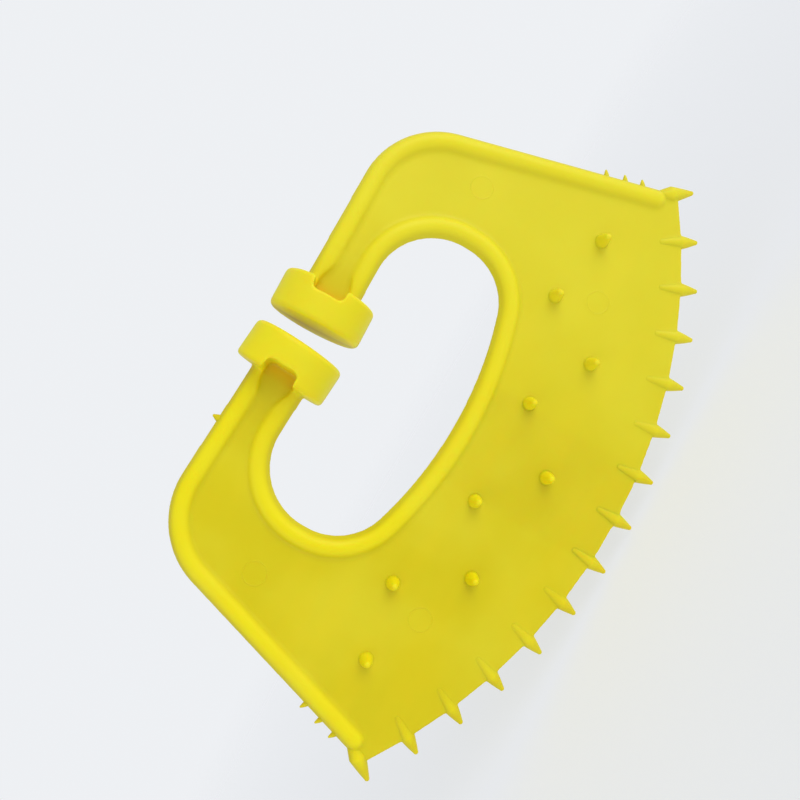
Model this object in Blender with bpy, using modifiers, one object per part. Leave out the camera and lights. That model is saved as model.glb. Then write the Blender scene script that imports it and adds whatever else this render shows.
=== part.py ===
"""Calf weaning nose clip, moulded in one shot of flexible yellow plastic.

The clip stands as it is worn. +X runs along the two arms, the toothed face looks along -Y and
+Z points up, from the spiked edge to the arms. The origin is the middle of the gap between the
two nose pads, where the calf's nose holds the clip. Left and right are as seen from the front.

The moulding is built as its separate features: a thin web, round beads along its rim and around
the hole, spikes, pegs, and two arms that end in nose pads. Each arm bends at one place, across a
round joint whose upright axis lies in the plate's middle plane.
"""

import math
from itertools import takewhile

import bmesh
import bpy
from mathutils import Matrix, Vector

MM = 0.001

# General
PIECE_GAP = 0.3 * MM  # air between two touching features
WEB_THICKNESS = 1.6 * MM
BEAD_RADIUS = 2.05 * MM

# Arms. Each rises a little from the gap outwards, along an axis through one reference point.
ARM_WIDTH = 10.95 * MM  # across both beads
ARM_TILT = math.radians(1.65)
ARM_REFERENCE = Vector((22.0, 0.3)) * MM  # x and z of a point on the right arm's axis
HINGE_X = 24.5 * MM  # where each arm flexes
HINGE_RADIUS = 2.3 * MM  # round end of the arm inside the plate's round seat
ARM_REACH = HINGE_X + 3 * HINGE_RADIUS  # the arm's features are made this long, then cut at the hinge

# Nose pads: thick discs that lie across the arm's axis, and lean a little more than the arm
PAD_TILT = math.radians(2.9)
PAD_MIDDLE = 6.0 * MM  # where the disc's axis crosses the arm's
PAD_RADIUS = 9.45 * MM
PAD_NEAR = 1.85 * MM  # gap face, from the middle of the gap
PAD_FAR = 10.0 * MM  # back face
PAD_FLAT_RADIUS = 3.5 * MM  # flat middle of the domed gap face
PAD_DOME = 0.3 * MM  # how far the gap face falls back towards its rim
PAD_RIM_ROUND = 1.2 * MM
PAD_BACK_ROUND = 1.0 * MM
NOTCH_DEPTH = 2.45 * MM  # the arm's channel runs on into the pad's back
NOTCH_WIDTH = 6.4 * MM
NOTCH_ROUND = 1.1 * MM
NOTCH_OVERRUN = 2.0 * MM  # how far the notch's cutter reaches past the pad's back face

# Plate outline
SIDE_X_AT_ORIGIN = 48.54 * MM  # x where the side's outer line crosses z = 0
SIDE_ANGLE = math.radians(17.23)  # the side leans out towards the spiked edge
SIDE_END_Z = -46.7 * MM  # centre of the rim bead's round end
SHOULDER_RADIUS = 14.68 * MM  # of the bead's centreline
EDGE_CENTRE_Z = 36.77 * MM
EDGE_RADIUS = 108.1 * MM

# Nose hole, measured to its clear opening
HOLE_HALF_WIDTH = 31.58 * MM
HOLE_BOTTOM_Z = -34.0 * MM
HOLE_BOTTOM_RADIUS = 78.0 * MM
HOLE_UPPER_CORNER = 12.65 * MM
HOLE_LOWER_CORNER = 12.1 * MM

# Spikes along the lower edge, on rays from the edge's centre
EDGE_SPIKES = 15
SPIKE_PITCH = math.radians(5.207)
SPIKE_INNER = 103.3 * MM  # distances from the edge's centre
SPIKE_WIDEST = 108.0 * MM
SPIKE_TIP = 111.7 * MM
SPIKE_INNER_RADIUS = 0.92 * MM
SPIKE_RADIUS = 1.45 * MM
SPIKE_TIP_RADIUS = 0.5 * MM
CORNER_SPIKE_INNER = 105.8 * MM  # clear of the rim bead's round end
CORNER_SPIKE_RADIUS = 1.75 * MM

# Pegs on the front face: x and z of the middle peg and of the right half's four
PEG_BASE_RADIUS = 1.3 * MM
PEG_TIP_RADIUS = 0.68 * MM
PEG_HEIGHT = 4.0 * MM  # above the web's face
MIDDLE_PEG = (0.0, -54.6)
SIDE_PEGS = ((11.0, -44.45), (24.2, -51.3), (32.35, -38.35), (47.1, -41.1))

# Small spikes on each side of the rim
SIDE_SPIKE_HEIGHTS = (-36.7, -40.6, -44.2)  # z on the bead's centreline, in millimetres
SIDE_SPIKE_LENGTH = 1.25 * MM
SIDE_SPIKE_RADIUS = 0.75 * MM
SIDE_SPIKE_TIP_RADIUS = 0.25 * MM
SIDE_SPIKE_RISE = math.radians(15.0)

# Remnant of the moulding gate on the left arm
GATE_X = 22.05 * MM  # distance from the middle of the gap
GATE_LENGTH = 1.15 * MM
GATE_RADIUS = 0.85 * MM
GATE_TIP_RADIUS = 0.35 * MM

# Facets
BEAD_RESOLUTION = 4  # 12 sides
ARC_SAG = 0.03 * MM  # how far a chord may cut inside its arc
SPIKE_STEPS = 12
SMALL_STEPS = 10
PAD_STEPS = 36
CAP_SLICES = 5  # of a bead's round end
CAP_TURN = math.radians(84.0)  # leaves a tiny flat at the very end

SIDES = ((-1, "left"), (1, "right"))
YELLOW = (0.70, 0.60, 0.035, 1.0)
COLLECTION = "calf_weaning_nose_clip"


# --- Plane geometry. Points are (x, z) vectors on the plate's middle plane, right half.

def direction(angle):
    return Vector((math.cos(angle), math.sin(angle)))


def turned_left(v):
    return Vector((-v.y, v.x))


def meet(p, p_direction, q, q_direction):
    """Where two lines cross."""
    across = turned_left(q_direction)
    return p + p_direction * ((q - p).dot(across) / p_direction.dot(across))


def arc(centre, radius, start, end):
    """Points on an arc from one angle to another, both ends included."""
    widest_step = 2 * math.sqrt(2 * ARC_SAG / radius)
    steps = max(2, math.ceil(abs(end - start) / widest_step))
    return [centre + direction(start + (end - start) * i / steps) * radius for i in range(steps + 1)]


def angle_of(v):
    return math.atan2(v.y, v.x)


ARM_DIRECTION = direction(ARM_TILT)
ARM_NORMAL = turned_left(ARM_DIRECTION)
BEAD_OFFSET = ARM_WIDTH / 2 - BEAD_RADIUS
ARM_END = ARM_REFERENCE + ARM_DIRECTION * (PAD_FAR + 1.5 * PIECE_GAP - ARM_REFERENCE.x)
PAD_DIRECTION = direction(PAD_TILT)
PAD_BACK = (
    ARM_REFERENCE + ARM_DIRECTION * (PAD_MIDDLE - ARM_REFERENCE.x) + PAD_DIRECTION * (PAD_FAR - PAD_MIDDLE)
)
SIDE_DIRECTION = Vector((math.sin(SIDE_ANGLE), -math.cos(SIDE_ANGLE)))
SIDE_OUTWARD = Vector((math.cos(SIDE_ANGLE), math.sin(SIDE_ANGLE)))
SIDE_ORIGIN = Vector((SIDE_X_AT_ORIGIN, 0.0)) - SIDE_OUTWARD * BEAD_RADIUS
EDGE_CENTRE = Vector((0.0, EDGE_CENTRE_Z))


def side_point(z):
    """The point of the side bead's centreline at this height."""
    return SIDE_ORIGIN + SIDE_DIRECTION * (z - SIDE_ORIGIN.y) / SIDE_DIRECTION.y


def rim_line(inset):
    """The right half's rim, from the arm's end to the side's end, moved inwards by inset."""
    arm = ARM_END + ARM_NORMAL * (BEAD_OFFSET - inset)
    side = SIDE_ORIGIN - SIDE_OUTWARD * inset
    radius = SHOULDER_RADIUS - inset
    centre = meet(
        arm - ARM_NORMAL * radius,
        ARM_DIRECTION,
        side - SIDE_OUTWARD * radius,
        SIDE_DIRECTION,
    )
    shoulder = arc(centre, radius, angle_of(ARM_NORMAL), angle_of(SIDE_OUTWARD))
    return [arm, *shoulder, side_point(SIDE_END_Z) - SIDE_OUTWARD * inset]


def hole_line(outset):
    """The right half of the hole, from the arm's end to the middle, moved away from the hole."""
    side_x = HOLE_HALF_WIDTH + outset
    upper = HOLE_UPPER_CORNER + outset
    lower = HOLE_LOWER_CORNER + outset
    bottom = HOLE_BOTTOM_RADIUS + outset
    arm = ARM_END - ARM_NORMAL * (ARM_WIDTH / 2 - outset)
    upper_centre = meet(
        arm - ARM_NORMAL * upper,
        ARM_DIRECTION,
        Vector((side_x - upper, 0.0)),
        Vector((0.0, 1.0)),
    )
    bottom_centre = Vector((0.0, HOLE_BOTTOM_Z + HOLE_BOTTOM_RADIUS))
    lower_x = side_x - lower
    lower_drop = math.sqrt((bottom - lower) ** 2 - lower_x**2)
    lower_centre = bottom_centre + Vector((lower_x, -lower_drop))
    low_angle = angle_of(lower_centre - bottom_centre)
    points = [arm]
    points += arc(upper_centre, upper, angle_of(ARM_NORMAL), 0.0)
    points += arc(lower_centre, lower, 0.0, low_angle)
    points += arc(bottom_centre, bottom, low_angle, -math.pi / 2)[1:]
    return points


def mirrored(points):
    return [Vector((-p.x, p.y)) for p in points]


def spike_radius_at(distance):
    """A spike's radius on the web, at this distance from the edge's centre."""
    share = (distance - SPIKE_INNER) / (SPIKE_WIDEST - SPIKE_INNER)
    return SPIKE_INNER_RADIUS + (SPIKE_RADIUS - SPIKE_INNER_RADIUS) * share


def ray_point(angle, distance, aside=0.0):
    """A point on a ray from the edge's centre, angle from straight down, moved aside."""
    along = Vector((math.sin(angle), -math.cos(angle)))
    return EDGE_CENTRE + along * distance + turned_left(along) * aside


def web_outline():
    """The web inside the beads, with a notch round every edge spike. Starts at the right arm."""
    clear = BEAD_RADIUS + PIECE_GAP
    rim = rim_line(clear)
    end = side_point(SIDE_END_Z)
    half = EDGE_SPIKES // 2
    corner_angle = SPIKE_PITCH * half
    wide = SPIKE_RADIUS + PIECE_GAP
    narrow = SPIKE_INNER_RADIUS + PIECE_GAP
    widest = CORNER_SPIKE_RADIUS + PIECE_GAP
    # The rim bead's round end cuts an arc out of the corner, up to the corner spike's notch.
    aside = (end - EDGE_CENTRE).dot(turned_left(ray_point(corner_angle, 1.0) - EDGE_CENTRE))
    along = (end - EDGE_CENTRE).dot(ray_point(corner_angle, 1.0) - EDGE_CENTRE)
    reach = math.sqrt(clear**2 - (widest + aside) ** 2)
    corner = ray_point(corner_angle, along + reach, -widest)
    start_angle = angle_of(-SIDE_OUTWARD)
    end_angle = angle_of(corner - end)
    right = rim[:-1] + arc(end, clear, start_angle + 2 * math.pi, end_angle + 2 * math.pi)
    right.append(ray_point(corner_angle, EDGE_RADIUS, -widest))
    for number in range(half - 1, 0, -1):
        angle = number * SPIKE_PITCH
        right += [
            ray_point(angle, EDGE_RADIUS, wide),
            ray_point(angle, SPIKE_INNER - PIECE_GAP, narrow),
            ray_point(angle, SPIKE_INNER - PIECE_GAP, -narrow),
            ray_point(angle, EDGE_RADIUS, -wide),
        ]
    right += [ray_point(0.0, EDGE_RADIUS, wide), ray_point(0.0, SPIKE_INNER - PIECE_GAP, narrow)]
    hole = hole_line(clear + BEAD_RADIUS)
    return right + mirrored(right)[::-1] + mirrored(hole) + hole[-2::-1]


# --- Objects

def make_collection(name):
    collection = bpy.data.collections.new(name)
    bpy.context.scene.collection.children.link(collection)
    return collection


def make_empty(name, location, parent=None):
    empty = bpy.data.objects.new(name, None)
    empty.empty_display_size = 10 * MM
    empty.location = location
    parts.objects.link(empty)
    empty.parent = parent
    return empty


def attach(piece, parent):
    """Parents a piece to an empty and keeps it where it is."""
    bpy.context.view_layer.update()
    piece.parent = parent
    piece.matrix_parent_inverse = parent.matrix_world.inverted()


def finish_piece(piece, parent):
    piece.data.materials.append(plastic)
    attach(piece, parent)
    return piece


def mesh_from_curve(curve_object, weld=1e-6):
    """Turns a curve object into a welded mesh object of the same name and place."""
    name = curve_object.name
    home = curve_object.users_collection[0]
    matrix = curve_object.matrix_world.copy()
    graph = bpy.context.evaluated_depsgraph_get()
    mesh = bpy.data.meshes.new_from_object(curve_object.evaluated_get(graph))
    bpy.data.objects.remove(curve_object)
    shape = bmesh.new()
    shape.from_mesh(mesh)
    bmesh.ops.remove_doubles(shape, verts=shape.verts, dist=weld)
    bmesh.ops.recalc_face_normals(shape, faces=shape.faces)
    shape.to_mesh(mesh)
    shape.free()
    piece = bpy.data.objects.new(name, mesh)
    piece.matrix_world = matrix
    home.objects.link(piece)
    return piece


def extruded(name, outline, low, high, home, upright=True):
    """A flat outline made solid. Upright, it lies on the plate from y low to high; otherwise it
    lies level, in x and y, from z low to high."""
    curve = bpy.data.curves.new(name, "CURVE")
    curve.dimensions = "2D"
    curve.fill_mode = "BOTH"
    curve.extrude = (high - low) / 2
    spline = curve.splines.new("POLY")
    spline.points.add(len(outline) - 1)
    for point, place in zip(spline.points, outline):
        point.co = (place.x, place.y, 0.0, 1.0)
    spline.use_cyclic_u = True
    holder = bpy.data.objects.new(name, curve)
    middle = (low + high) / 2
    if upright:
        holder.matrix_world = Matrix.Translation((0, middle, 0)) @ Matrix.Rotation(math.pi / 2, 4, "X")
    else:
        holder.location = (0, 0, middle)
    home.objects.link(holder)
    bpy.context.view_layer.update()
    return mesh_from_curve(holder)


def bead(name, points, radii=None):
    """A round bead along points on the plate's middle plane."""
    curve = bpy.data.curves.new(name, "CURVE")
    curve.dimensions = "3D"
    curve.bevel_depth = BEAD_RADIUS
    curve.bevel_resolution = BEAD_RESOLUTION
    curve.use_fill_caps = True
    spline = curve.splines.new("POLY")
    spline.points.add(len(points) - 1)
    for i, (point, place) in enumerate(zip(spline.points, points)):
        point.co = (place.x, 0.0, place.y, 1.0)
        point.radius = radii[i] if radii else 1.0
    holder = bpy.data.objects.new(name, curve)
    parts.objects.link(holder)
    bpy.context.view_layer.update()
    piece = mesh_from_curve(holder)
    piece.data.shade_smooth()
    return piece


def turned(name, profile, place, axis, steps):
    """A profile of (radius, height) from the top down, turned about its height, then laid with
    its height along axis from place."""
    mesh = bpy.data.meshes.new(name)
    edges = [(i, i + 1) for i in range(len(profile) - 1)]
    mesh.from_pydata([(r, 0.0, h) for r, h in profile], edges, [])
    piece = bpy.data.objects.new(name, mesh)
    screw = piece.modifiers.new("Turn", "SCREW")
    screw.steps = steps
    screw.render_steps = steps
    screw.use_merge_vertices = True
    screw.merge_threshold = 1e-6
    turn = Vector((0, 0, 1)).rotation_difference(axis)
    piece.matrix_world = Matrix.Translation(place) @ turn.to_matrix().to_4x4()
    parts.objects.link(piece)
    return piece


def rounded_tip(radius, top, slices=3):
    """Profile points over a round tip, from its apex to where it is widest."""
    turns = [math.pi / 2 * i / slices for i in range(slices + 1)]
    return [(radius * math.sin(t), top - radius * (1 - math.cos(t))) for t in turns]


def boolean(piece, cutter, operation):
    cut = piece.modifiers.new(operation.title(), "BOOLEAN")
    cut.operation = operation
    cut.object = cutter


def on_plate(point, y=0.0):
    return Vector((point.x, y, point.y))


# --- Features

def spike(name, angle, at_corner):
    """A spindle across the lower edge: widest at the edge and round at its tip."""
    inner = CORNER_SPIKE_INNER if at_corner else SPIKE_INNER
    radius = CORNER_SPIKE_RADIUS if at_corner else SPIKE_RADIUS
    profile = rounded_tip(SPIKE_TIP_RADIUS, SPIKE_TIP)
    profile += [(radius, SPIKE_WIDEST), (spike_radius_at(inner), inner), (0.0, inner)]
    outward = on_plate(ray_point(angle, 1.0) - EDGE_CENTRE)
    return turned(name, profile, on_plate(EDGE_CENTRE), outward, SPIKE_STEPS)


def peg(name, x, z):
    base = WEB_THICKNESS / 2 + PIECE_GAP
    profile = rounded_tip(PEG_TIP_RADIUS, WEB_THICKNESS / 2 + PEG_HEIGHT)
    profile += [(PEG_BASE_RADIUS, base), (0.0, base)]
    return turned(name, profile, Vector((x, 0, z)) * MM, Vector((0, -1, 0)), SMALL_STEPS)


def thorn(name, root, outward, length, base_radius, tip_radius):
    """A small cone that stands on a bead's surface."""
    base = BEAD_RADIUS + PIECE_GAP
    profile = rounded_tip(tip_radius, base + length, 2)
    profile += [(base_radius, base), (0.0, base)]
    return turned(name, profile, on_plate(root), on_plate(outward), SMALL_STEPS)


def pad_profile():
    """Half the disc's section: (radius, distance from the back face), gap face first."""
    top = PAD_FAR - PAD_NEAR
    profile = [(0.0, top), (PAD_FLAT_RADIUS, top)]
    rim_start = PAD_RADIUS - PAD_RIM_ROUND
    profile.append((rim_start, top - PAD_DOME))
    for i in range(1, 5):
        turn = math.pi / 2 * i / 4
        fall = PAD_RIM_ROUND * (1 - math.cos(turn))
        profile.append((rim_start + PAD_RIM_ROUND * math.sin(turn), top - PAD_DOME - fall))
    for i in range(4):
        turn = math.pi / 2 * i / 3
        rise = PAD_BACK_ROUND * (1 - math.sin(turn))
        profile.append((PAD_RADIUS - PAD_BACK_ROUND * (1 - math.cos(turn)), rise))
    profile.append((0.0, 0.0))
    return profile


def pad(name, side):
    """A nose pad, with the arm's channel carried on into both faces of its back."""
    place = on_plate(Vector((side * PAD_BACK.x, PAD_BACK.y)))
    towards_gap = on_plate(Vector((-side * PAD_DIRECTION.x, -PAD_DIRECTION.y)))
    piece = turned(name, pad_profile(), place, towards_gap, PAD_STEPS)
    half = NOTCH_WIDTH / 2
    inner = -NOTCH_DEPTH
    outline = [Vector((NOTCH_OVERRUN, half)), Vector((NOTCH_OVERRUN, -half))]
    outline += arc(Vector((inner + NOTCH_ROUND, NOTCH_ROUND - half)), NOTCH_ROUND, -math.pi / 2, -math.pi)
    outline += arc(Vector((inner + NOTCH_ROUND, half - NOTCH_ROUND)), NOTCH_ROUND, math.pi, math.pi / 2)
    frame = [PAD_BACK + ARM_DIRECTION * p.x + ARM_NORMAL * p.y for p in outline]
    frame = frame if side > 0 else mirrored(frame)
    floor = WEB_THICKNESS / 2
    for face, low, high in (("front", -2 * PAD_RADIUS, -floor), ("back", floor, 2 * PAD_RADIUS)):
        cutter = extruded(f"{name}_{face}_notch", frame, low, high, cutters)
        as_cutter(cutter)
        boolean(piece, cutter, "DIFFERENCE")
    return piece


def as_cutter(piece):
    piece.hide_render = True
    piece.display_type = "WIRE"


def hinge_cutter(name, side, radius):
    """The arm's side of the joint: everything nearer the gap than the hinge, with a round nose."""
    reach = 2 * PAD_RADIUS
    nose = arc(Vector((HINGE_X, 0.0)), radius, math.pi / 2, -math.pi / 2)
    outline = [Vector((0.0, reach)), Vector((HINGE_X, reach)), *nose]
    outline += [Vector((HINGE_X, -reach)), Vector((0.0, -reach))]
    outline = outline if side > 0 else mirrored(outline)
    cutter = extruded(name, outline, -ARM_WIDTH, ARM_WIDTH, cutters, upright=False)
    as_cutter(cutter)
    return cutter


def arm_web_outline():
    """The thin strip between an arm's two beads, long enough to reach past the hinge."""
    clear = BEAD_RADIUS + PIECE_GAP
    upper = rim_line(clear)[:2]
    lower = hole_line(clear + BEAD_RADIUS)
    strip = list(takewhile(lambda p: p.x < ARM_REACH, lower))
    beyond = lower[len(strip)]
    share = (ARM_REACH - strip[-1].x) / (beyond.x - strip[-1].x)
    strip.append(strip[-1].lerp(beyond, share))
    end = meet(upper[0], ARM_DIRECTION, Vector((ARM_REACH, 0.0)), Vector((0.0, 1.0)))
    return [upper[0], end, *strip[::-1]]


def round_ended(points):
    """Adds a half-round end after the last point: (points, radius of each as a share)."""
    heading = (points[-1] - points[-2]).normalized()
    turns = [CAP_TURN * (i + 1) / CAP_SLICES for i in range(CAP_SLICES)]
    cap = [points[-1] + heading * BEAD_RADIUS * math.sin(t) for t in turns]
    return points + cap, [1.0] * len(points) + [math.cos(t) for t in turns]


def build_plate(root, seats):
    web = extruded("web_plate", web_outline(), -WEB_THICKNESS / 2, WEB_THICKNESS / 2, parts)
    half_hole = hole_line(BEAD_RADIUS)
    hole = bead("nose_hole_bead", half_hole + mirrored(half_hole)[-2::-1])
    for seat in seats.values():
        boolean(web, seat, "DIFFERENCE")
        boolean(hole, seat, "DIFFERENCE")
    rim, radii = round_ended(rim_line(0.0))
    for side, word in SIDES:
        points = rim if side > 0 else mirrored(rim)
        rim_bead = bead(f"{word}_rim_bead", points, radii)
        boolean(rim_bead, seats[side], "DIFFERENCE")
        finish_piece(rim_bead, root)
        rise = Matrix.Rotation(SIDE_SPIKE_RISE, 2)
        outward = rise @ SIDE_OUTWARD
        for number, height in enumerate(SIDE_SPIKE_HEIGHTS, 1):
            place = side_point(height * MM)
            place, heading = (place, outward) if side > 0 else mirrored((place, outward))
            size = (SIDE_SPIKE_LENGTH, SIDE_SPIKE_RADIUS, SIDE_SPIKE_TIP_RADIUS)
            finish_piece(thorn(f"{word}_side_spike_{number}", place, heading, *size), root)
    finish_piece(web, root)
    finish_piece(hole, root)
    for number in range(EDGE_SPIKES):
        step = number - EDGE_SPIKES // 2
        at_corner = abs(step) == EDGE_SPIKES // 2
        finish_piece(spike(f"edge_spike_{number + 1:02d}", step * SPIKE_PITCH, at_corner), root)
    places = sorted([MIDDLE_PEG, *SIDE_PEGS, *((-x, z) for x, z in SIDE_PEGS)])
    for number, (x, z) in enumerate(places, 1):
        finish_piece(peg(f"face_peg_{number:02d}", x, z), root)


def build_arm(side, word, hinge, nose):
    """One arm: its thin strip, its two beads and its pad, which all turn with the hinge."""
    outline = arm_web_outline()
    outline = outline if side > 0 else mirrored(outline)
    strip = extruded(f"{word}_arm_web", outline, -WEB_THICKNESS / 2, WEB_THICKNESS / 2, parts)
    outer_line = rim_line(0.0)[:4]
    inner_line = list(takewhile(lambda p: p.x < ARM_REACH, hole_line(BEAD_RADIUS)))
    if side < 0:
        outer_line, inner_line = mirrored(outer_line), mirrored(inner_line)
    outer = bead(f"{word}_arm_outer_bead", outer_line)
    inner = bead(f"{word}_arm_inner_bead", inner_line)
    for piece in (strip, outer, inner):
        boolean(piece, nose, "INTERSECT")
        finish_piece(piece, hinge)
    finish_piece(pad(f"{word}_nose_pad", side), hinge)


def build_gate(hinge):
    """The gate's remnant, on the left arm's outer bead."""
    root = ARM_REFERENCE + ARM_DIRECTION * (GATE_X - ARM_REFERENCE.x) + ARM_NORMAL * BEAD_OFFSET
    root, outward = mirrored((root, ARM_NORMAL))
    finish_piece(thorn("gate_nub", root, outward, GATE_LENGTH, GATE_RADIUS, GATE_TIP_RADIUS), hinge)


def yellow_plastic():
    material = bpy.data.materials.new("yellow_plastic")
    material.use_nodes = True
    shader = material.node_tree.nodes["Principled BSDF"]
    shader.inputs["Base Color"].default_value = YELLOW
    shader.inputs["Roughness"].default_value = 0.42
    shader.inputs["Metallic"].default_value = 0.0
    return material


for old in list(bpy.data.objects):
    bpy.data.objects.remove(old)
parts = make_collection(COLLECTION)
cutters = make_collection(COLLECTION + "_cutters")
plastic = yellow_plastic()
plate = make_empty("plate", (0, 0, 0))
seats = {side: hinge_cutter(f"hinge_seat_{word}", side, HINGE_RADIUS + PIECE_GAP) for side, word in SIDES}
build_plate(plate, seats)
for side, word in SIDES:
    hinge = make_empty(f"{word}_arm_hinge", (side * HINGE_X, 0, 0), plate)
    build_arm(side, word, hinge, hinge_cutter(f"hinge_nose_{word}", side, HINGE_RADIUS))
    if side < 0:
        build_gate(hinge)
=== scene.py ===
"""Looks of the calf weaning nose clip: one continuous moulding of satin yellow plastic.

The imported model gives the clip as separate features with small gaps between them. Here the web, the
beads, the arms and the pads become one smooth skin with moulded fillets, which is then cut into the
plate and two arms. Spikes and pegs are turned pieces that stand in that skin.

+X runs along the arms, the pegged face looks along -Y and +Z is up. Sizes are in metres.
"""

import math

import bmesh
import bpy
from mathutils import Matrix, Vector


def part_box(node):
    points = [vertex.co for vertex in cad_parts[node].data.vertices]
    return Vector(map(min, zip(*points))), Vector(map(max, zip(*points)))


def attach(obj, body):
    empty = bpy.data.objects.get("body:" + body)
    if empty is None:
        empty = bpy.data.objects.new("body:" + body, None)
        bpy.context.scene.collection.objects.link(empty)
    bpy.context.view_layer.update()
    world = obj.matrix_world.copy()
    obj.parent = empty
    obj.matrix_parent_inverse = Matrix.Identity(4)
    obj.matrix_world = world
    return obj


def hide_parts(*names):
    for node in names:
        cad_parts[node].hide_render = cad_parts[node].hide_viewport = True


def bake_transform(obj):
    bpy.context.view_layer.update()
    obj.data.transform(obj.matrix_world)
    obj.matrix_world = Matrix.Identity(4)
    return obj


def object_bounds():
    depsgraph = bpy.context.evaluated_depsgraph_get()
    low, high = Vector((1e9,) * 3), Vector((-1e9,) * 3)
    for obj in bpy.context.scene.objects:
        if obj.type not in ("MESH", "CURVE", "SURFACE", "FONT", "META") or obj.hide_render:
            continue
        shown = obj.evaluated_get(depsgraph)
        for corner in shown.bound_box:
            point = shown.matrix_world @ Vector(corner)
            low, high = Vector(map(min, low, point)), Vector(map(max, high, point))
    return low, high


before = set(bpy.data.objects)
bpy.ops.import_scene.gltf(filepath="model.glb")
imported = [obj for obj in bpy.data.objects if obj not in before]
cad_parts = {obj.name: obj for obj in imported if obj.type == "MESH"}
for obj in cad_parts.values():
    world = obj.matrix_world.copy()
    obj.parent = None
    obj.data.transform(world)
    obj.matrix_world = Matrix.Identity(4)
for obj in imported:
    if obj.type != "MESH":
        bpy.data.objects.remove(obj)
cad_low, cad_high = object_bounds()

MM = 0.001

# Moulding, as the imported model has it
WEB_HALF = 0.8 * MM
BEAD_RADIUS = 2.05 * MM
ARM_WIDTH = 10.95 * MM
ARM_TILT = math.radians(1.65)
ARM_REFERENCE = Vector((22.0, 0.3)) * MM
PAD_TILT = math.radians(2.9)
PAD_MIDDLE = 6.0 * MM
PAD_RADIUS = 9.45 * MM
PAD_NEAR = 1.85 * MM
PAD_FAR = 10.0 * MM
PAD_DOME = 0.3 * MM
PAD_RIM_ROUND = 1.0 * MM
PAD_BACK_ROUND = 0.8 * MM
SIDE_X_AT_ORIGIN = 48.54 * MM
SIDE_ANGLE = math.radians(17.23)
SIDE_END_Z = -46.7 * MM
SHOULDER_RADIUS = 14.68 * MM
EDGE_CENTRE = Vector((0.0, 36.77)) * MM
EDGE_RADIUS = 108.1 * MM
HOLE_HALF_WIDTH = 31.58 * MM
HOLE_BOTTOM_Z = -34.0 * MM
HOLE_BOTTOM_RADIUS = 78.0 * MM
HOLE_UPPER_CORNER = 12.65 * MM
HOLE_LOWER_CORNER = 12.1 * MM
EDGE_SPIKES = 15
SPIKE_PITCH = math.radians(5.207)
SPIKE_INNER = 103.3 * MM
SPIKE_WIDEST = 108.0 * MM
SPIKE_TIP = 111.75 * MM
SPIKE_INNER_RADIUS = 0.93 * MM
SPIKE_START_ROUND = 0.2 * MM
SPIKE_BULGE = 0.05 * MM
SPIKE_RADIUS = 1.45 * MM
SPIKE_TIP_RADIUS = 0.5 * MM
CORNER_WIDEST = 106.8 * MM  # the corner spikes are stouter and stand a little outwards
CORNER_RADIUS = 1.72 * MM
CORNER_ASIDE = 0.22 * MM
PEG_BASE_RADIUS = 1.3 * MM
PEG_TIP_RADIUS = 0.68 * MM
SIDE_SPIKE_HEIGHTS = (-36.7, -40.6, -44.2)  # z on the bead's centreline, in millimetres
SIDE_SPIKE_RISE = math.radians(15.0)
THORN_REACH = 1.55 * MM  # beyond the bead's surface
THORN_RADIUS = 0.62 * MM
THORN_TIP_RADIUS = 0.22 * MM
GATE_REACH = 1.4 * MM
GATE_RADIUS = 0.8 * MM
GATE_TIP_RADIUS = 0.32 * MM
PLUMPNESS = 0.09  # how far a cone's flank bulges, as a share of its width
FOOT_START = 0.75  # a cone's foot flares out from this share of its length
PEG_FLARE = 0.25 * MM
THORN_FLARE = 0.2 * MM
GATE_FLARE = 0.25 * MM
SUNK = 0.3 * MM  # how deep thorns and gate start inside their bead
PEG_SUNK = 0.2 * MM
GATE_X = 22.05 * MM

# The channel between an arm's beads widens as it runs into the pad's notch
NOTCH_WALL = 7.55 * MM  # from the middle of the gap
NOTCH_HALF_WIDTH = 3.2 * MM
NOTCH_ROUND = 1.1 * MM
FLARE_START = 10.3 * MM
FLARE_END = 16.5 * MM
FLARE_HALF_WIDTH = 1.4 * MM
FLARE_SOFT_START = 10.15 * MM  # the flare's edges are softened between these, clear of the pad
FLARE_SOFT_END = 18.0 * MM
FLARE_SOFT_HALF_WIDTH = 4.0 * MM
FLARE_SMOOTHING = 32

# Skin
ROOT_RADIUS = 2.35 * MM  # of the mound under each bead
ROOT_HEIGHT = 1.0 * MM
VOXEL = 0.26 * MM
SKIN_SMOOTHING = 9
ARC_SAG = 0.004 * MM
BEND_START = 29.0 * MM  # an arm's skin begins here
ARM_CUT_Z = -17.0 * MM  # runs through the hole, below the arms
CUT_MARGIN = 0.5 * MM  # the plate's triangles this near the cut are left as they are
PLATE_KEEP = 0.42  # share of the plate skin's triangles kept; the flat web needs few

# Linear colours of the plastic, and the orange of the shade painted into its hollows
WEB_YELLOW = (0.67, 0.565, 0.004, 1)
BEAD_YELLOW = (0.83, 0.72, 0.003, 1)
PALE_YELLOW = (0.79, 0.72, 0.035, 1)
WARM_YELLOW = (0.80, 0.62, 0.004, 1)
# painted shade: the orange that hollows are painted towards
PAINTED_SHADE_ORANGE = (0.97, 0.50, 0.002, 1)
SHEEN_PAINT_START = -25.0 * MM  # painted sheen: the yellow is painted a little paler from here towards the right end, in place of the light's sheen there
SHEEN_PAINT_END = 50.0 * MM
SHARP_ANGLE = math.radians(60)
PAINTED_SHADE_REACH = 6.0 * MM  # how far the painted shade of a hollow reaches; hollows are painted orange in place of their shade and bounced light
CLOUD_SCALE = 45.0  # the noises' scales, from broad clouds of colour down to fine grain
FLOW_SCALE = 130.0
PATCH_SCALE = 260.0
PEEL_SCALE = 700.0
GRAIN_SCALE = 3200.0
SUBSURFACE_DEPTH = 1.2 * MM
SKIN_SUBSURFACE = 0.3  # share of the light that spreads inside the plastic
PAD_SUBSURFACE = 0.8
PARTING_HALF_WIDTH = 0.12 * MM  # of the fine line where the mould's halves met
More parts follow.
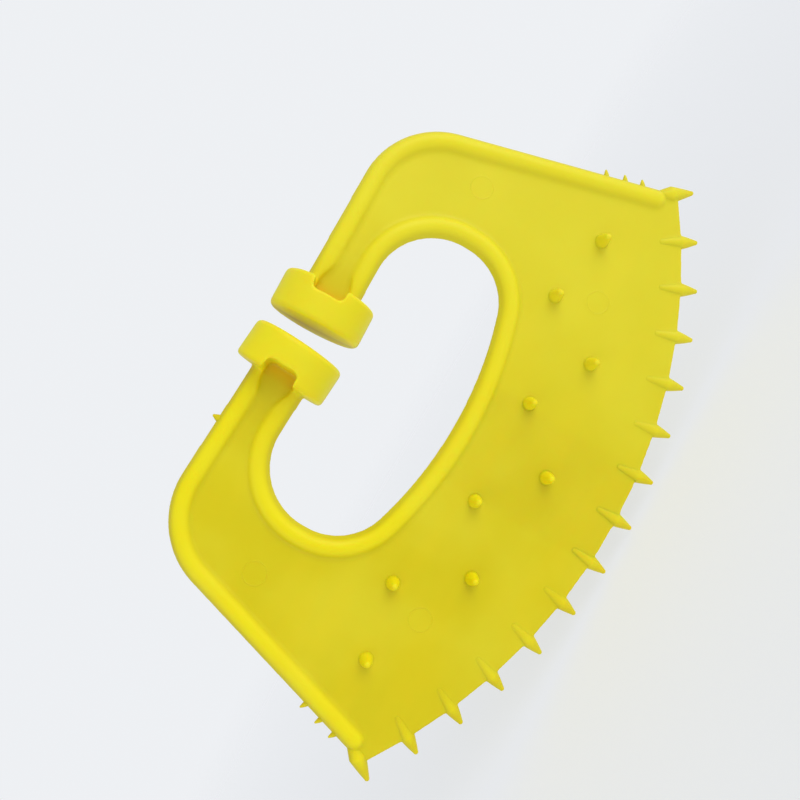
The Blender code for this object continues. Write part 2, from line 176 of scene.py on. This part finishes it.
EJECTOR_MARKS = ((35.8, -46.5), (43.4, -14.8))  # x and z of the right half's marks, in millimetres
EJECTOR_RADIUS = 2.3 * MM
EJECTOR_LINE = 0.16 * MM

# Stage
FLOOR_RADIUS = 0.7
FLOOR_SOLID = 0.12  # the floor is solid out to here, then fades
FLOOR_GAP = 0.4 * MM
WORLD_LIGHT = 0.58
WORLD_SHOWN = 0.90
FLOOR_GREY = (0.34, 0.345, 0.355, 1)
BACKDROP = (0.95, 0.97, 1.0, 1)
KEY_TOWARDS = (0.72, -0.62, 0.22)
KEY_SPREAD = math.radians(50)
KEY_STRENGTH = 1.45
FILL_TOWARDS = (-0.80, -0.55, 0.20)
FILL_SPREAD = math.radians(60)
FILL_STRENGTH = 0.6
FLOOR_GLOW = 0.57

SIDES = ((-1, "left"), (1, "right"))


# --- Plane geometry of the right half: (x, z) vectors

def direction(angle):
    return Vector((math.cos(angle), math.sin(angle)))


def turned_left(v):
    return Vector((-v.y, v.x))


def meet(p, p_direction, q, q_direction):
    """Where two lines cross."""
    across = turned_left(q_direction)
    return p + p_direction * ((q - p).dot(across) / p_direction.dot(across))


def angle_of(v):
    return math.atan2(v.y, v.x)


def arc(centre, radius, start, end):
    """Points on an arc from one angle to another, both ends included."""
    steps = max(3, math.ceil(abs(end - start) / (2 * math.sqrt(2 * ARC_SAG / radius))))
    return [centre + direction(start + (end - start) * i / steps) * radius for i in range(steps + 1)]


def mirrored(points):
    return [Vector((-p.x, p.y)) for p in points]


ARM_DIRECTION = direction(ARM_TILT)
ARM_NORMAL = turned_left(ARM_DIRECTION)
BEAD_OFFSET = ARM_WIDTH / 2 - BEAD_RADIUS
SIDE_DIRECTION = Vector((math.sin(SIDE_ANGLE), -math.cos(SIDE_ANGLE)))
SIDE_OUTWARD = Vector((math.cos(SIDE_ANGLE), math.sin(SIDE_ANGLE)))
SIDE_ORIGIN = Vector((SIDE_X_AT_ORIGIN, 0.0)) - SIDE_OUTWARD * BEAD_RADIUS


def arm_point(along, across=0.0):
    """A point at this x on the right arm's axis, moved up across the arm."""
    return ARM_REFERENCE + ARM_DIRECTION * (along - ARM_REFERENCE.x) + ARM_NORMAL * across


def side_point(z):
    return SIDE_ORIGIN + SIDE_DIRECTION * (z - SIDE_ORIGIN.y) / SIDE_DIRECTION.y


def rim_line():
    """Centreline of the right rim bead, from inside the pad to the side's end."""
    arm = arm_point((PAD_NEAR + PAD_FAR) / 2, BEAD_OFFSET)
    centre = meet(
        arm - ARM_NORMAL * SHOULDER_RADIUS,
        ARM_DIRECTION,
        SIDE_ORIGIN - SIDE_OUTWARD * SHOULDER_RADIUS,
        SIDE_DIRECTION,
    )
    shoulder = arc(centre, SHOULDER_RADIUS, angle_of(ARM_NORMAL), angle_of(SIDE_OUTWARD))
    return [arm, *shoulder, side_point(SIDE_END_Z)]


def hole_line():
    """Centreline of the right half of the hole's bead, from inside the pad to the middle."""
    side_x = HOLE_HALF_WIDTH + BEAD_RADIUS
    upper = HOLE_UPPER_CORNER + BEAD_RADIUS
    lower = HOLE_LOWER_CORNER + BEAD_RADIUS
    bottom = HOLE_BOTTOM_RADIUS + BEAD_RADIUS
    arm = arm_point((PAD_NEAR + PAD_FAR) / 2, -BEAD_OFFSET)
    upper_centre = meet(
        arm - ARM_NORMAL * upper, ARM_DIRECTION, Vector((side_x - upper, 0.0)), Vector((0.0, 1.0))
    )
    bottom_centre = Vector((0.0, HOLE_BOTTOM_Z + HOLE_BOTTOM_RADIUS))
    lower_x = side_x - lower
    lower_centre = bottom_centre + Vector((lower_x, -math.sqrt((bottom - lower) ** 2 - lower_x**2)))
    low_angle = angle_of(lower_centre - bottom_centre)
    points = [arm, *arc(upper_centre, upper, angle_of(ARM_NORMAL), 0.0)]
    points += arc(lower_centre, lower, 0.0, low_angle)
    points += arc(bottom_centre, bottom, low_angle, -math.pi / 2)[1:]
    return points


def edge_corner(number):
    """The lower edge's corner on the ray of one spike, counted from the middle."""
    angle = number * SPIKE_PITCH
    return EDGE_CENTRE + Vector((math.sin(angle), -math.cos(angle))) * EDGE_RADIUS


def web_outline():
    """The web, out to the beads' centrelines and to the straight chords between the spikes."""
    half = EDGE_SPIKES // 2
    right = rim_line() + [edge_corner(number) for number in range(half, -1, -1)]
    hole = hole_line()
    return right + mirrored(right)[-2::-1] + mirrored(hole) + hole[-2::-1]


def channel_outline():
    """The right arm's channel where it opens into the notch, in (along, across) the arm."""
    wall = NOTCH_WALL + NOTCH_ROUND
    low = arc(Vector((wall, NOTCH_ROUND - NOTCH_HALF_WIDTH)), NOTCH_ROUND, -math.pi / 2, -math.pi)
    high = [Vector((p.x, -p.y)) for p in reversed(low)]
    flare = []
    steps = 16
    for i in range(steps + 1):
        share = i / steps
        ease = share * share * (3 - 2 * share)
        width = NOTCH_HALF_WIDTH + (FLARE_HALF_WIDTH - NOTCH_HALF_WIDTH) * ease
        flare.append(Vector((FLARE_START + (FLARE_END - FLARE_START) * share, width)))
    local = low + high + flare + [Vector((p.x, -p.y)) for p in reversed(flare)]
    return [arm_point(p.x, p.y) for p in local]


# --- Mesh making

def new_object(name, mesh):
    piece = bpy.data.objects.new(name, mesh)
    bpy.context.scene.collection.objects.link(piece)
    return piece


def evaluated_mesh(piece):
    """The mesh with its modifiers or curve settings applied. The object itself is removed."""
    bpy.context.view_layer.update()
    graph = bpy.context.evaluated_depsgraph_get()
    mesh = bpy.data.meshes.new_from_object(piece.evaluated_get(graph))
    mesh.transform(piece.matrix_world)
    bpy.data.objects.remove(piece)
    return mesh


def extruded(outline, low, high):
    """A flat (x, z) outline made solid from y low to y high."""
    curve = bpy.data.curves.new("outline", "CURVE")
    curve.dimensions = "2D"
    curve.fill_mode = "BOTH"
    curve.extrude = (high - low) / 2
    spline = curve.splines.new("POLY")
    spline.points.add(len(outline) - 1)
    for point, place in zip(spline.points, outline):
        point.co = (place.x, place.y, 0.0, 1.0)
    spline.use_cyclic_u = True
    holder = new_object("outline", curve)
    upright = Matrix.Rotation(math.pi / 2, 4, "X")
    holder.matrix_world = Matrix.Translation((0, (low + high) / 2, 0)) @ upright
    return welded(evaluated_mesh(holder))


def welded(mesh):
    shape = bmesh.new()
    shape.from_mesh(mesh)
    bmesh.ops.remove_doubles(shape, verts=shape.verts, dist=1e-7)
    bmesh.ops.recalc_face_normals(shape, faces=shape.faces)
    shape.to_mesh(mesh)
    shape.free()
    return mesh


def bead(points, radii=None, radius=BEAD_RADIUS):
    """A round bead along (x, z) points."""
    curve = bpy.data.curves.new("bead", "CURVE")
    curve.dimensions = "3D"
    curve.bevel_depth = radius
    curve.bevel_resolution = 14
    curve.use_fill_caps = True
    spline = curve.splines.new("POLY")
    spline.points.add(len(points) - 1)
    for i, (point, place) in enumerate(zip(spline.points, points)):
        point.co = (place.x, 0.0, place.y, 1.0)
        point.radius = radii[i] if radii else 1.0
    return welded(evaluated_mesh(new_object("bead", curve)))


def turned(profile, place, axis, steps):
    """A profile of (radius, height), from the top down, turned and laid along axis from place."""
    shape = bmesh.new()
    rings = []
    for radius, height in profile:
        if radius < 1e-9:
            rings.append([shape.verts.new((0, 0, height))])
        else:
            turns = [2 * math.pi * i / steps for i in range(steps)]
            places = [(radius * math.cos(t), radius * math.sin(t), height) for t in turns]
            rings.append([shape.verts.new(place) for place in places])
    for upper, lower in zip(rings, rings[1:]):
        for i in range(steps):
            j = (i + 1) % steps
            corners = [upper[i % len(upper)], lower[i % len(lower)]]
            corners += [lower[j % len(lower)], upper[j % len(upper)]]
            unique = list(dict.fromkeys(corners))
            if len(unique) > 2:
                shape.faces.new(unique)
    bmesh.ops.recalc_face_normals(shape, faces=shape.faces)
    mesh = bpy.data.meshes.new("turned")
    shape.to_mesh(mesh)
    shape.free()
    turn = Vector((0, 0, 1)).rotation_difference(axis).to_matrix().to_4x4()
    mesh.transform(Matrix.Translation(place) @ turn)
    return mesh


def on_plate(point, y=0.0):
    return Vector((point.x, y, point.y))


def rounded_tip(radius, top, slices=8):
    turns = [math.pi / 2 * i / slices for i in range(slices + 1)]
    return [(radius * math.sin(t), top - radius * (1 - math.cos(t))) for t in turns]


# --- Sources of the skin

def with_root(points, radii=None):
    """A round bead, and the lower, wider mound that blends it into the web."""
    root = bead(points, radii, ROOT_RADIUS)
    root.transform(Matrix.Diagonal((1.0, ROOT_HEIGHT / ROOT_RADIUS, 1.0, 1.0)))
    return [bead(points, radii), root]


def rim_bead(side):
    """The right or left rim bead and its root, which end in a half ball on the web."""
    points = rim_line()
    heading = (points[-1] - points[-2]).normalized()
    turns = [math.pi / 2 * i / 12 for i in range(1, 12)]
    radii = [1.0] * len(points) + [math.cos(t) for t in turns]
    points = points + [points[-1] + heading * BEAD_RADIUS * math.sin(t) for t in turns]
    return with_root(points if side > 0 else mirrored(points), radii)


def pad_profile():
    """Half the pad's section: (radius, distance from its back face), gap face first."""
    top = PAD_FAR - PAD_NEAR
    rim_start = PAD_RADIUS - PAD_RIM_ROUND
    steps = 10
    profile = []
    for i in range(steps):
        radius = rim_start * i / steps
        profile.append((radius, top - PAD_DOME * (radius / rim_start) ** 2))
    for t in (math.pi / 2 * i / steps for i in range(steps + 1)):
        fall = PAD_RIM_ROUND * (1 - math.cos(t))
        profile.append((rim_start + PAD_RIM_ROUND * math.sin(t), top - PAD_DOME - fall))
    for t in (math.pi / 2 * i / steps for i in range(steps + 1)):
        radius = PAD_RADIUS - PAD_BACK_ROUND * (1 - math.cos(t))
        profile.append((radius, PAD_BACK_ROUND * (1 - math.sin(t))))
    profile.append((0.0, 0.0))
    return profile


def pad(side):
    lie = direction(PAD_TILT)
    back = arm_point(PAD_MIDDLE) + lie * (PAD_FAR - PAD_MIDDLE)
    place = on_plate(Vector((side * back.x, back.y)))
    towards_gap = on_plate(Vector((-side * lie.x, -lie.y)))
    return turned(pad_profile(), place, towards_gap, 96)


def spike_profile(widest, radius, shrink=0.0):
    """A spindle along its ray, measured from the edge's centre, tip first."""
    profile = rounded_tip(SPIKE_TIP_RADIUS - shrink, SPIKE_TIP - shrink)
    tip_end = SPIKE_TIP - SPIKE_TIP_RADIUS
    steps = 10
    for i in range(1, steps + 1):
        share = i / steps
        bulge = math.sin(share * math.pi) * SPIKE_BULGE
        width = SPIKE_TIP_RADIUS + (radius - SPIKE_TIP_RADIUS) * share
        profile.append((width + bulge - shrink, tip_end + (widest - tip_end) * share))
    start = SPIKE_INNER + SPIKE_START_ROUND
    for i in range(1, steps + 1):
        share = i / steps
        width = radius + (SPIKE_INNER_RADIUS - radius) * share
        profile.append((width - shrink, widest + (start - widest) * share))
    for t in (math.pi / 2 * i / 6 for i in range(1, 7)):
        fall = SPIKE_START_ROUND * (1 - math.cos(t))
        profile.append((SPIKE_INNER_RADIUS - shrink - fall, start - SPIKE_START_ROUND * math.sin(t)))
    profile.append((0.0, SPIKE_INNER))
    return profile


def spike_mesh(number, shrink=0.0):
    """The spike on one ray, counted from the left. The two corner spikes are stouter."""
    step = number - EDGE_SPIKES // 2
    angle = step * SPIKE_PITCH
    axis = Vector((math.sin(angle), 0.0, -math.cos(angle)))
    place = on_plate(EDGE_CENTRE)
    if abs(step) < EDGE_SPIKES // 2:
        return turned(spike_profile(SPIKE_WIDEST, SPIKE_RADIUS, shrink), place, axis, 40)
    outwards = Vector((math.cos(angle), 0.0, math.sin(angle))) * (1 if step > 0 else -1)
    profile = spike_profile(CORNER_WIDEST, CORNER_RADIUS, shrink)
    return turned(profile, place + outwards * CORNER_ASIDE, axis, 40)


def joined(meshes):
    """One mesh object that holds all these meshes."""
    shape = bmesh.new()
    for mesh in meshes:
        shape.from_mesh(mesh)
        bpy.data.meshes.remove(mesh)
    mesh = bpy.data.meshes.new("joined")
    shape.to_mesh(mesh)
    shape.free()
    return new_object("joined", mesh)


def remeshed(piece):
    remesh = piece.modifiers.new("Voxels", "REMESH")
    remesh.mode = "VOXEL"
    remesh.voxel_size = VOXEL
    return evaluated_mesh(piece)


def in_flare(place):
    """Whether a point of the skin is where an arm's channel widens towards its pad."""
    local = Vector((abs(place.x), place.z)) - ARM_REFERENCE
    along = ARM_REFERENCE.x + local.dot(ARM_DIRECTION)
    across = abs(local.dot(ARM_NORMAL))
    return FLARE_SOFT_START < along < FLARE_SOFT_END and across < FLARE_SOFT_HALF_WIDTH


def skin_mesh():
    """Web, beads, pads and roots as one closed, filleted mesh."""
    half_hole = hole_line()
    sources = [
        extruded(web_outline(), -WEB_HALF, WEB_HALF),
        *with_root(half_hole + mirrored(half_hole)[-2::-1]),
        *rim_bead(-1),
        *rim_bead(1),
        pad(-1),
        pad(1),
    ]
    sources += [spike_mesh(number, 0.1 * MM) for number in range(EDGE_SPIKES)]
    body = joined(sources)
    body = new_object("body", remeshed(body))
    reach = 2 * PAD_RADIUS
    channels = []
    for outline in (channel_outline(), mirrored(channel_outline())):
        channels += [extruded(outline, -reach, -WEB_HALF), extruded(outline, WEB_HALF, reach)]
    cutter = joined(channels)
    cut = body.modifiers.new("Channels", "BOOLEAN")
    cut.operation = "DIFFERENCE"
    cut.object = cutter
    mesh = evaluated_mesh(body)
    bpy.data.objects.remove(cutter)
    body = new_object("body", remeshed(new_object("cut", mesh)))
    smooth = body.modifiers.new("Fillets", "SMOOTH")
    smooth.factor = 0.5
    smooth.iterations = SKIN_SMOOTHING
    flare = body.vertex_groups.new(name="flare")
    flare.add([v.index for v in body.data.vertices if in_flare(v.co)], 1.0, "REPLACE")
    soften = body.modifiers.new("Flares", "SMOOTH")
    soften.factor = 0.5
    soften.iterations = FLARE_SMOOTHING
    soften.vertex_group = flare.name
    return evaluated_mesh(body)


# --- Cutting the skin into the plate and the arms

def in_arm(face, side):
    middle = face.calc_center_median()
    return side * middle.x > 0 and abs(middle.x) < BEND_START and middle.z > ARM_CUT_Z


def cut_skin(mesh):
    """{"plate": mesh, "left": mesh, "right": mesh}, each closed."""
    shape = bmesh.new()
    shape.from_mesh(mesh)
    for side, _ in SIDES:
        near = [f for f in shape.faces if f.calc_center_median().z > ARM_CUT_Z]
        edges = {e for f in near for e in f.edges}
        verts = {v for f in near for v in f.verts}
        bmesh.ops.bisect_plane(
            shape,
            geom=list(verts) + list(edges) + near,
            dist=1e-8,
            plane_co=(side * BEND_START, 0, 0),
            plane_no=(1, 0, 0),
        )
    shapes = {"plate": lambda f: not in_arm(f, 1) and not in_arm(f, -1)}
    shapes["left"] = lambda f: in_arm(f, -1)
    shapes["right"] = lambda f: in_arm(f, 1)
    made = {}
    for name, belongs in shapes.items():
        part = shape.copy()
        bmesh.ops.delete(part, geom=[f for f in part.faces if not belongs(f)], context="FACES")
        rim = [e for e in part.edges if e.is_boundary]
        for edge in rim:
            edge.smooth = False
        bmesh.ops.holes_fill(part, edges=rim)
        result = bpy.data.meshes.new(name)
        part.to_mesh(result)
        part.free()
        made[name] = result
    shape.free()
    return made


# --- Materials

class Nodes:
    """A short way to add and link a material's nodes."""

    def __init__(self, tree):
        self.tree = tree

    def add(self, kind, inputs=None, **settings):
        node = self.tree.nodes.new(kind)
        for name, value in settings.items():
            setattr(node, name, value)
        for name, value in (inputs or {}).items():
            self.put(node.inputs[name], value)
        return node

    def put(self, socket, value):
        if isinstance(value, bpy.types.NodeSocket):
            self.tree.links.new(value, socket)
        else:
            socket.default_value = value

    def maths(self, operation, *values):
        node = self.add("ShaderNodeMath", operation=operation)
        for socket, value in zip(node.inputs, values):
            self.put(socket, value)
        return node.outputs[0]

    def noise(self, place, scale, detail=2.0, stretch=(1, 1, 1)):
        mapping = self.add("ShaderNodeMapping", {"Vector": place, "Scale": stretch})
        inputs = {"Vector": mapping.outputs[0], "Scale": scale, "Detail": detail}
        return self.add("ShaderNodeTexNoise", inputs).outputs["Fac"]

    def ramp(self, value, low, high, to_low=0.0, to_high=1.0):
        inputs = {"Value": value, "From Min": low, "From Max": high, "To Min": to_low, "To Max": to_high}
        return self.add("ShaderNodeMapRange", inputs, interpolation_type="SMOOTHSTEP").outputs[0]

    def mix(self, share, first, second):
        node = self.add("ShaderNodeMix", data_type="RGBA")
        for socket, value in zip((node.inputs[0], node.inputs[6], node.inputs[7]), (share, first, second)):
            self.put(socket, value)
        return node.outputs[2]

    def bump(self, height, strength, distance, normal=None):
        inputs = {"Height": height, "Strength": strength, "Distance": distance}
        if normal:
            inputs["Normal"] = normal
        return self.add("ShaderNodeBump", inputs).outputs[0]


def ejector_rings(nodes, axes):
    """1 on the fine ridges round the marks of the mould's ejector pins, 0 elsewhere."""
    side = nodes.maths("ABSOLUTE", axes.outputs["X"])
    found = 0.0
    for x, z in EJECTOR_MARKS:
        place = nodes.add("ShaderNodeCombineXYZ", {"X": side, "Z": axes.outputs["Z"]}).outputs[0]
        inputs = {0: place, 1: (x * MM, 0.0, z * MM)}
        away = nodes.add("ShaderNodeVectorMath", inputs, operation="DISTANCE").outputs["Value"]
        ridge = nodes.maths("ABSOLUTE", nodes.maths("SUBTRACT", away, EJECTOR_RADIUS))
        found = nodes.maths("MAXIMUM", found, nodes.ramp(ridge, EJECTOR_LINE, 0.0))
    return found


def plastic():
    """Satin yellow plastic, a little translucent. The thin web is duller than the thick beads. Hollows are
    painted orange as shade, and the right end paler as a painted sheen.
    """
    material = bpy.data.materials.new("moulded_yellow_plastic")
    material.use_nodes = True
    nodes = Nodes(material.node_tree)
    shader = material.node_tree.nodes["Principled BSDF"]
    place = nodes.add("ShaderNodeTexCoord").outputs["Object"]
    axes = nodes.add("ShaderNodeSeparateXYZ", {"Vector": place})
    depth = nodes.maths("ABSOLUTE", axes.outputs["Y"])
    thick = nodes.ramp(depth, 0.85 * MM, 1.9 * MM)
    cloud = nodes.noise(place, CLOUD_SCALE, 3.0)
    flow = nodes.noise(place, FLOW_SCALE, 2.0, (0.25, 1.0, 1.0))
    colour = nodes.mix(thick, WEB_YELLOW, BEAD_YELLOW)
    colour = nodes.mix(nodes.ramp(cloud, 0.35, 0.7, 0.0, 0.35), colour, PALE_YELLOW)
    colour = nodes.mix(nodes.ramp(flow, 0.4, 0.75, 0.0, 0.22), colour, WARM_YELLOW)
    # painted sheen: paler yellow towards the right end stands in for the light's sheen on the web
    painted_sheen = nodes.ramp(axes.outputs["X"], SHEEN_PAINT_START, SHEEN_PAINT_END, 0.0, 0.5)
    colour = nodes.mix(painted_sheen, colour, PALE_YELLOW)
    # painted shade: ambient occlusion paints hollows orange, in place of the shade and bounced light inside
    # them
    painted_shade = nodes.add("ShaderNodeAmbientOcclusion", {"Distance": PAINTED_SHADE_REACH}, samples=8, only_local=True)
    colour = nodes.mix(nodes.ramp(painted_shade.outputs["AO"], 0.75, 0.20, 0.0, 0.55), colour, PAINTED_SHADE_ORANGE)
    nodes.put(shader.inputs["Base Color"], colour)
    patches = nodes.noise(place, PATCH_SCALE, 4.0)
    nodes.put(shader.inputs["Roughness"], nodes.ramp(patches, 0.3, 0.7, 0.40, 0.50))
    shader.inputs["IOR"].default_value = 1.49
    shader.inputs["Specular IOR Level"].default_value = 0.2
    side = nodes.maths("ABSOLUTE", axes.outputs["X"])
    from_cut = nodes.maths("ABSOLUTE", nodes.maths("SUBTRACT", side, BEND_START))
    below_arms = nodes.ramp(axes.outputs["Z"], ARM_CUT_Z, ARM_CUT_Z - 6 * MM)
    whole = nodes.maths("MAXIMUM", nodes.ramp(from_cut, 0.6 * MM, 5.0 * MM), below_arms)
    glow = nodes.ramp(side, PAD_FAR + 1.0 * MM, PAD_FAR, SKIN_SUBSURFACE, PAD_SUBSURFACE)
    nodes.put(shader.inputs["Subsurface Weight"], nodes.maths("MULTIPLY", whole, glow))
    shader.inputs["Subsurface Radius"].default_value = (1.0, 0.5, 0.06)
    shader.inputs["Subsurface Scale"].default_value = SUBSURFACE_DEPTH
    peel = nodes.bump(nodes.noise(place, PEEL_SCALE, 2.0), 0.10, 0.05 * MM)
    grain = nodes.bump(nodes.noise(place, GRAIN_SCALE, 2.0), 0.08, 0.02 * MM, peel)
    front = nodes.ramp(axes.outputs["Y"], 0.0, -0.5 * MM)
    rings = nodes.maths("MULTIPLY", ejector_rings(nodes, axes), front)
    grain = nodes.bump(rings, 0.8, 0.06 * MM, grain)
    seam = nodes.ramp(depth, PARTING_HALF_WIDTH, 0.0)
    nodes.put(shader.inputs["Normal"], nodes.bump(seam, 0.5, 0.05 * MM, grain))
    return material


yellow = plastic()


def finished(name, mesh, body, nodes):
    piece = new_object(name, mesh)
    mesh.name = name
    mesh.materials.clear()
    mesh.materials.append(yellow)
    mesh.shade_smooth()
    mesh.set_sharp_from_angle(angle=SHARP_ANGLE)
    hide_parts(*nodes)
    if body:
        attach(piece, body)
    return piece


# --- Pieces

def bend(piece):
    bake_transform(piece)


def clear_of_cut(place):
    return abs(abs(place.x) - BEND_START) > CUT_MARGIN or place.z < ARM_CUT_Z


def thinned(mesh):
    """The plate's mesh with fewer triangles, left alone along the cuts so that the arms meet it."""
    holder = new_object("thinned", mesh)
    free = holder.vertex_groups.new(name="free")
    free.add([v.index for v in mesh.vertices if clear_of_cut(v.co)], 1.0, "REPLACE")
    fewer = holder.modifiers.new("Fewer", "DECIMATE")
    fewer.ratio = PLATE_KEEP
    fewer.vertex_group = free.name
    return evaluated_mesh(holder)


def make_skins():
    parts = cut_skin(skin_mesh())
    nodes = ["web_plate", "nose_hole_bead", "left_rim_bead", "right_rim_bead"]
    finished("plate_skin", thinned(parts["plate"]), "plate", nodes)
    for side, word in SIDES:
        nodes = [f"{word}_arm_web", f"{word}_arm_outer_bead", f"{word}_arm_inner_bead", f"{word}_nose_pad"]
        arm = finished(f"{word}_arm_skin", parts[word], None, nodes)
        bend(arm)


def make_spikes():
    for number in range(EDGE_SPIKES):
        finished(f"spike_{number + 1:02d}", spike_mesh(number), "plate", [f"edge_spike_{number + 1:02d}"])


def cone_profile(base, height, base_radius, tip_radius, flare):
    """A round-tipped, slightly plump cone, tip first, whose foot flares out into the surface."""
    profile = rounded_tip(tip_radius, height)
    steps = 12
    top = height - tip_radius
    for i in range(1, steps + 1):
        share = i / steps
        width = tip_radius + (base_radius - tip_radius) * share
        plump = PLUMPNESS * (base_radius + tip_radius) * math.sin(share * math.pi)
        foot = max(0.0, share - FOOT_START) / (1 - FOOT_START)
        profile.append((width + plump + flare * foot**2, top + (base - top) * share))
    profile.append((0.0, base))
    return profile


def make_pegs():
    for node in sorted(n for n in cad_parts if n.startswith("face_peg_")):
        low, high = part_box(node)
        centre = (low + high) / 2
        radii = (PEG_BASE_RADIUS, PEG_TIP_RADIUS)
        profile = cone_profile(WEB_HALF - PEG_SUNK, -low.y, *radii, PEG_FLARE)
        mesh = turned(profile, Vector((centre.x, 0, centre.z)), Vector((0, -1, 0)), 32)
        finished(node.replace("face_", ""), mesh, "plate", [node])


def make_side_spikes():
    """Three fine thorns on each side of the rim."""
    outward = Matrix.Rotation(SIDE_SPIKE_RISE, 2) @ SIDE_OUTWARD
    heights = (BEAD_RADIUS - SUNK, BEAD_RADIUS + THORN_REACH)
    profile = cone_profile(*heights, THORN_RADIUS, THORN_TIP_RADIUS, THORN_FLARE)
    for side, word in SIDES:
        for number, height in enumerate(SIDE_SPIKE_HEIGHTS, 1):
            root = side_point(height * MM)
            axis = Vector((side * outward.x, 0, outward.y))
            mesh = turned(profile, Vector((side * root.x, 0, root.y)), axis, 24)
            finished(f"{word}_thorn_{number}", mesh, "plate", [f"{word}_side_spike_{number}"])


def make_gate():
    """The remnant of the moulding gate on the left arm."""
    root = arm_point(GATE_X, BEAD_OFFSET)
    heights = (BEAD_RADIUS - SUNK, BEAD_RADIUS + GATE_REACH)
    profile = cone_profile(*heights, GATE_RADIUS, GATE_TIP_RADIUS, GATE_FLARE)
    axis = Vector((-ARM_NORMAL.x, 0, ARM_NORMAL.y))
    mesh = turned(profile, Vector((-root.x, 0, root.y)), axis, 24)
    bend(finished("gate_remnant", mesh, None, ["gate_nub"]))


# --- Stage

def soft_sun(name, towards_light, strength, spread):
    """A broad soft light from far away, so the floor is lit evenly."""
    lamp = bpy.data.lights.new(name, "SUN")
    lamp.energy = strength
    lamp.angle = spread
    holder = bpy.data.objects.new(name, lamp)
    holder.rotation_mode = "QUATERNION"
    holder.rotation_quaternion = Vector(towards_light).to_track_quat("Z", "Y")
    bpy.context.scene.collection.objects.link(holder)


CAMERA_PLACE = Vector((-16.4, -145.2, -11.2)) * MM
CAMERA_TARGET = Vector((-1.37, 0.0, -22.03)) * MM
CAMERA_ROLL = math.radians(-59.36)
CAMERA_LENS = 33.9  # millimetres, on a sensor 36 wide


def make_camera():
    data = bpy.data.cameras.new("camera")
    data.lens = CAMERA_LENS
    data.sensor_width = 36.0
    data.clip_start = 0.01
    camera = bpy.data.objects.new("camera", data)
    camera.rotation_mode = "QUATERNION"
    camera.location = CAMERA_PLACE
    aim = (CAMERA_TARGET - CAMERA_PLACE).to_track_quat("-Z", "Y").to_matrix()
    camera.rotation_quaternion = (aim @ Matrix.Rotation(CAMERA_ROLL, 3, "Z")).to_quaternion()
    bpy.context.scene.collection.objects.link(camera)
    bpy.context.scene.camera = camera


def make_floor():
    """A pale floor under the spikes, which fades out into the backdrop all round."""
    mesh = bpy.data.meshes.new("floor")
    shape = bmesh.new()
    bmesh.ops.create_circle(shape, cap_ends=True, segments=96, radius=FLOOR_RADIUS)
    shape.to_mesh(mesh)
    shape.free()
    floor = new_object("floor", mesh)
    floor.location = (0, 0, cad_low.z - FLOOR_GAP)
    pale = bpy.data.materials.new("pale_floor")
    pale.use_nodes = True
    nodes = Nodes(pale.node_tree)
    shader = pale.node_tree.nodes["Principled BSDF"]
    shader.inputs["Base Color"].default_value = FLOOR_GREY
    shader.inputs["Roughness"].default_value = 0.8
    shader.inputs["Emission Color"].default_value = BACKDROP
    shader.inputs["Emission Strength"].default_value = FLOOR_GLOW
    place = nodes.add("ShaderNodeTexCoord").outputs["Object"]
    distance = nodes.add("ShaderNodeVectorMath", {0: place}, operation="LENGTH").outputs["Value"]
    solid = nodes.ramp(distance, FLOOR_RADIUS, FLOOR_SOLID)
    clear = nodes.add("ShaderNodeBsdfTransparent")
    blend = nodes.add("ShaderNodeMixShader", {0: solid, 1: clear.outputs[0], 2: shader.outputs[0]})
    nodes.put(pale.node_tree.nodes["Material Output"].inputs["Surface"], blend.outputs[0])
    mesh.materials.append(pale)


def make_world():
    """A pale backdrop that lights the clip less than it shows."""
    world = bpy.data.worlds.new("pale")
    world.use_nodes = True
    nodes = Nodes(world.node_tree)
    seen = nodes.add("ShaderNodeLightPath").outputs["Is Camera Ray"]
    background = world.node_tree.nodes["Background"]
    background.inputs["Color"].default_value = BACKDROP
    nodes.put(background.inputs["Strength"], nodes.ramp(seen, 0.0, 1.0, WORLD_LIGHT, WORLD_SHOWN))
    bpy.context.scene.world = world
    bpy.context.scene.view_settings.view_transform = "Standard"


def make_stage():
    make_floor()
    make_world()
    soft_sun("key", KEY_TOWARDS, KEY_STRENGTH, KEY_SPREAD)
    soft_sun("fill", FILL_TOWARDS, FILL_STRENGTH, FILL_SPREAD)


make_skins()
make_spikes()
make_pegs()
make_side_spikes()
make_gate()
make_camera()
make_stage()
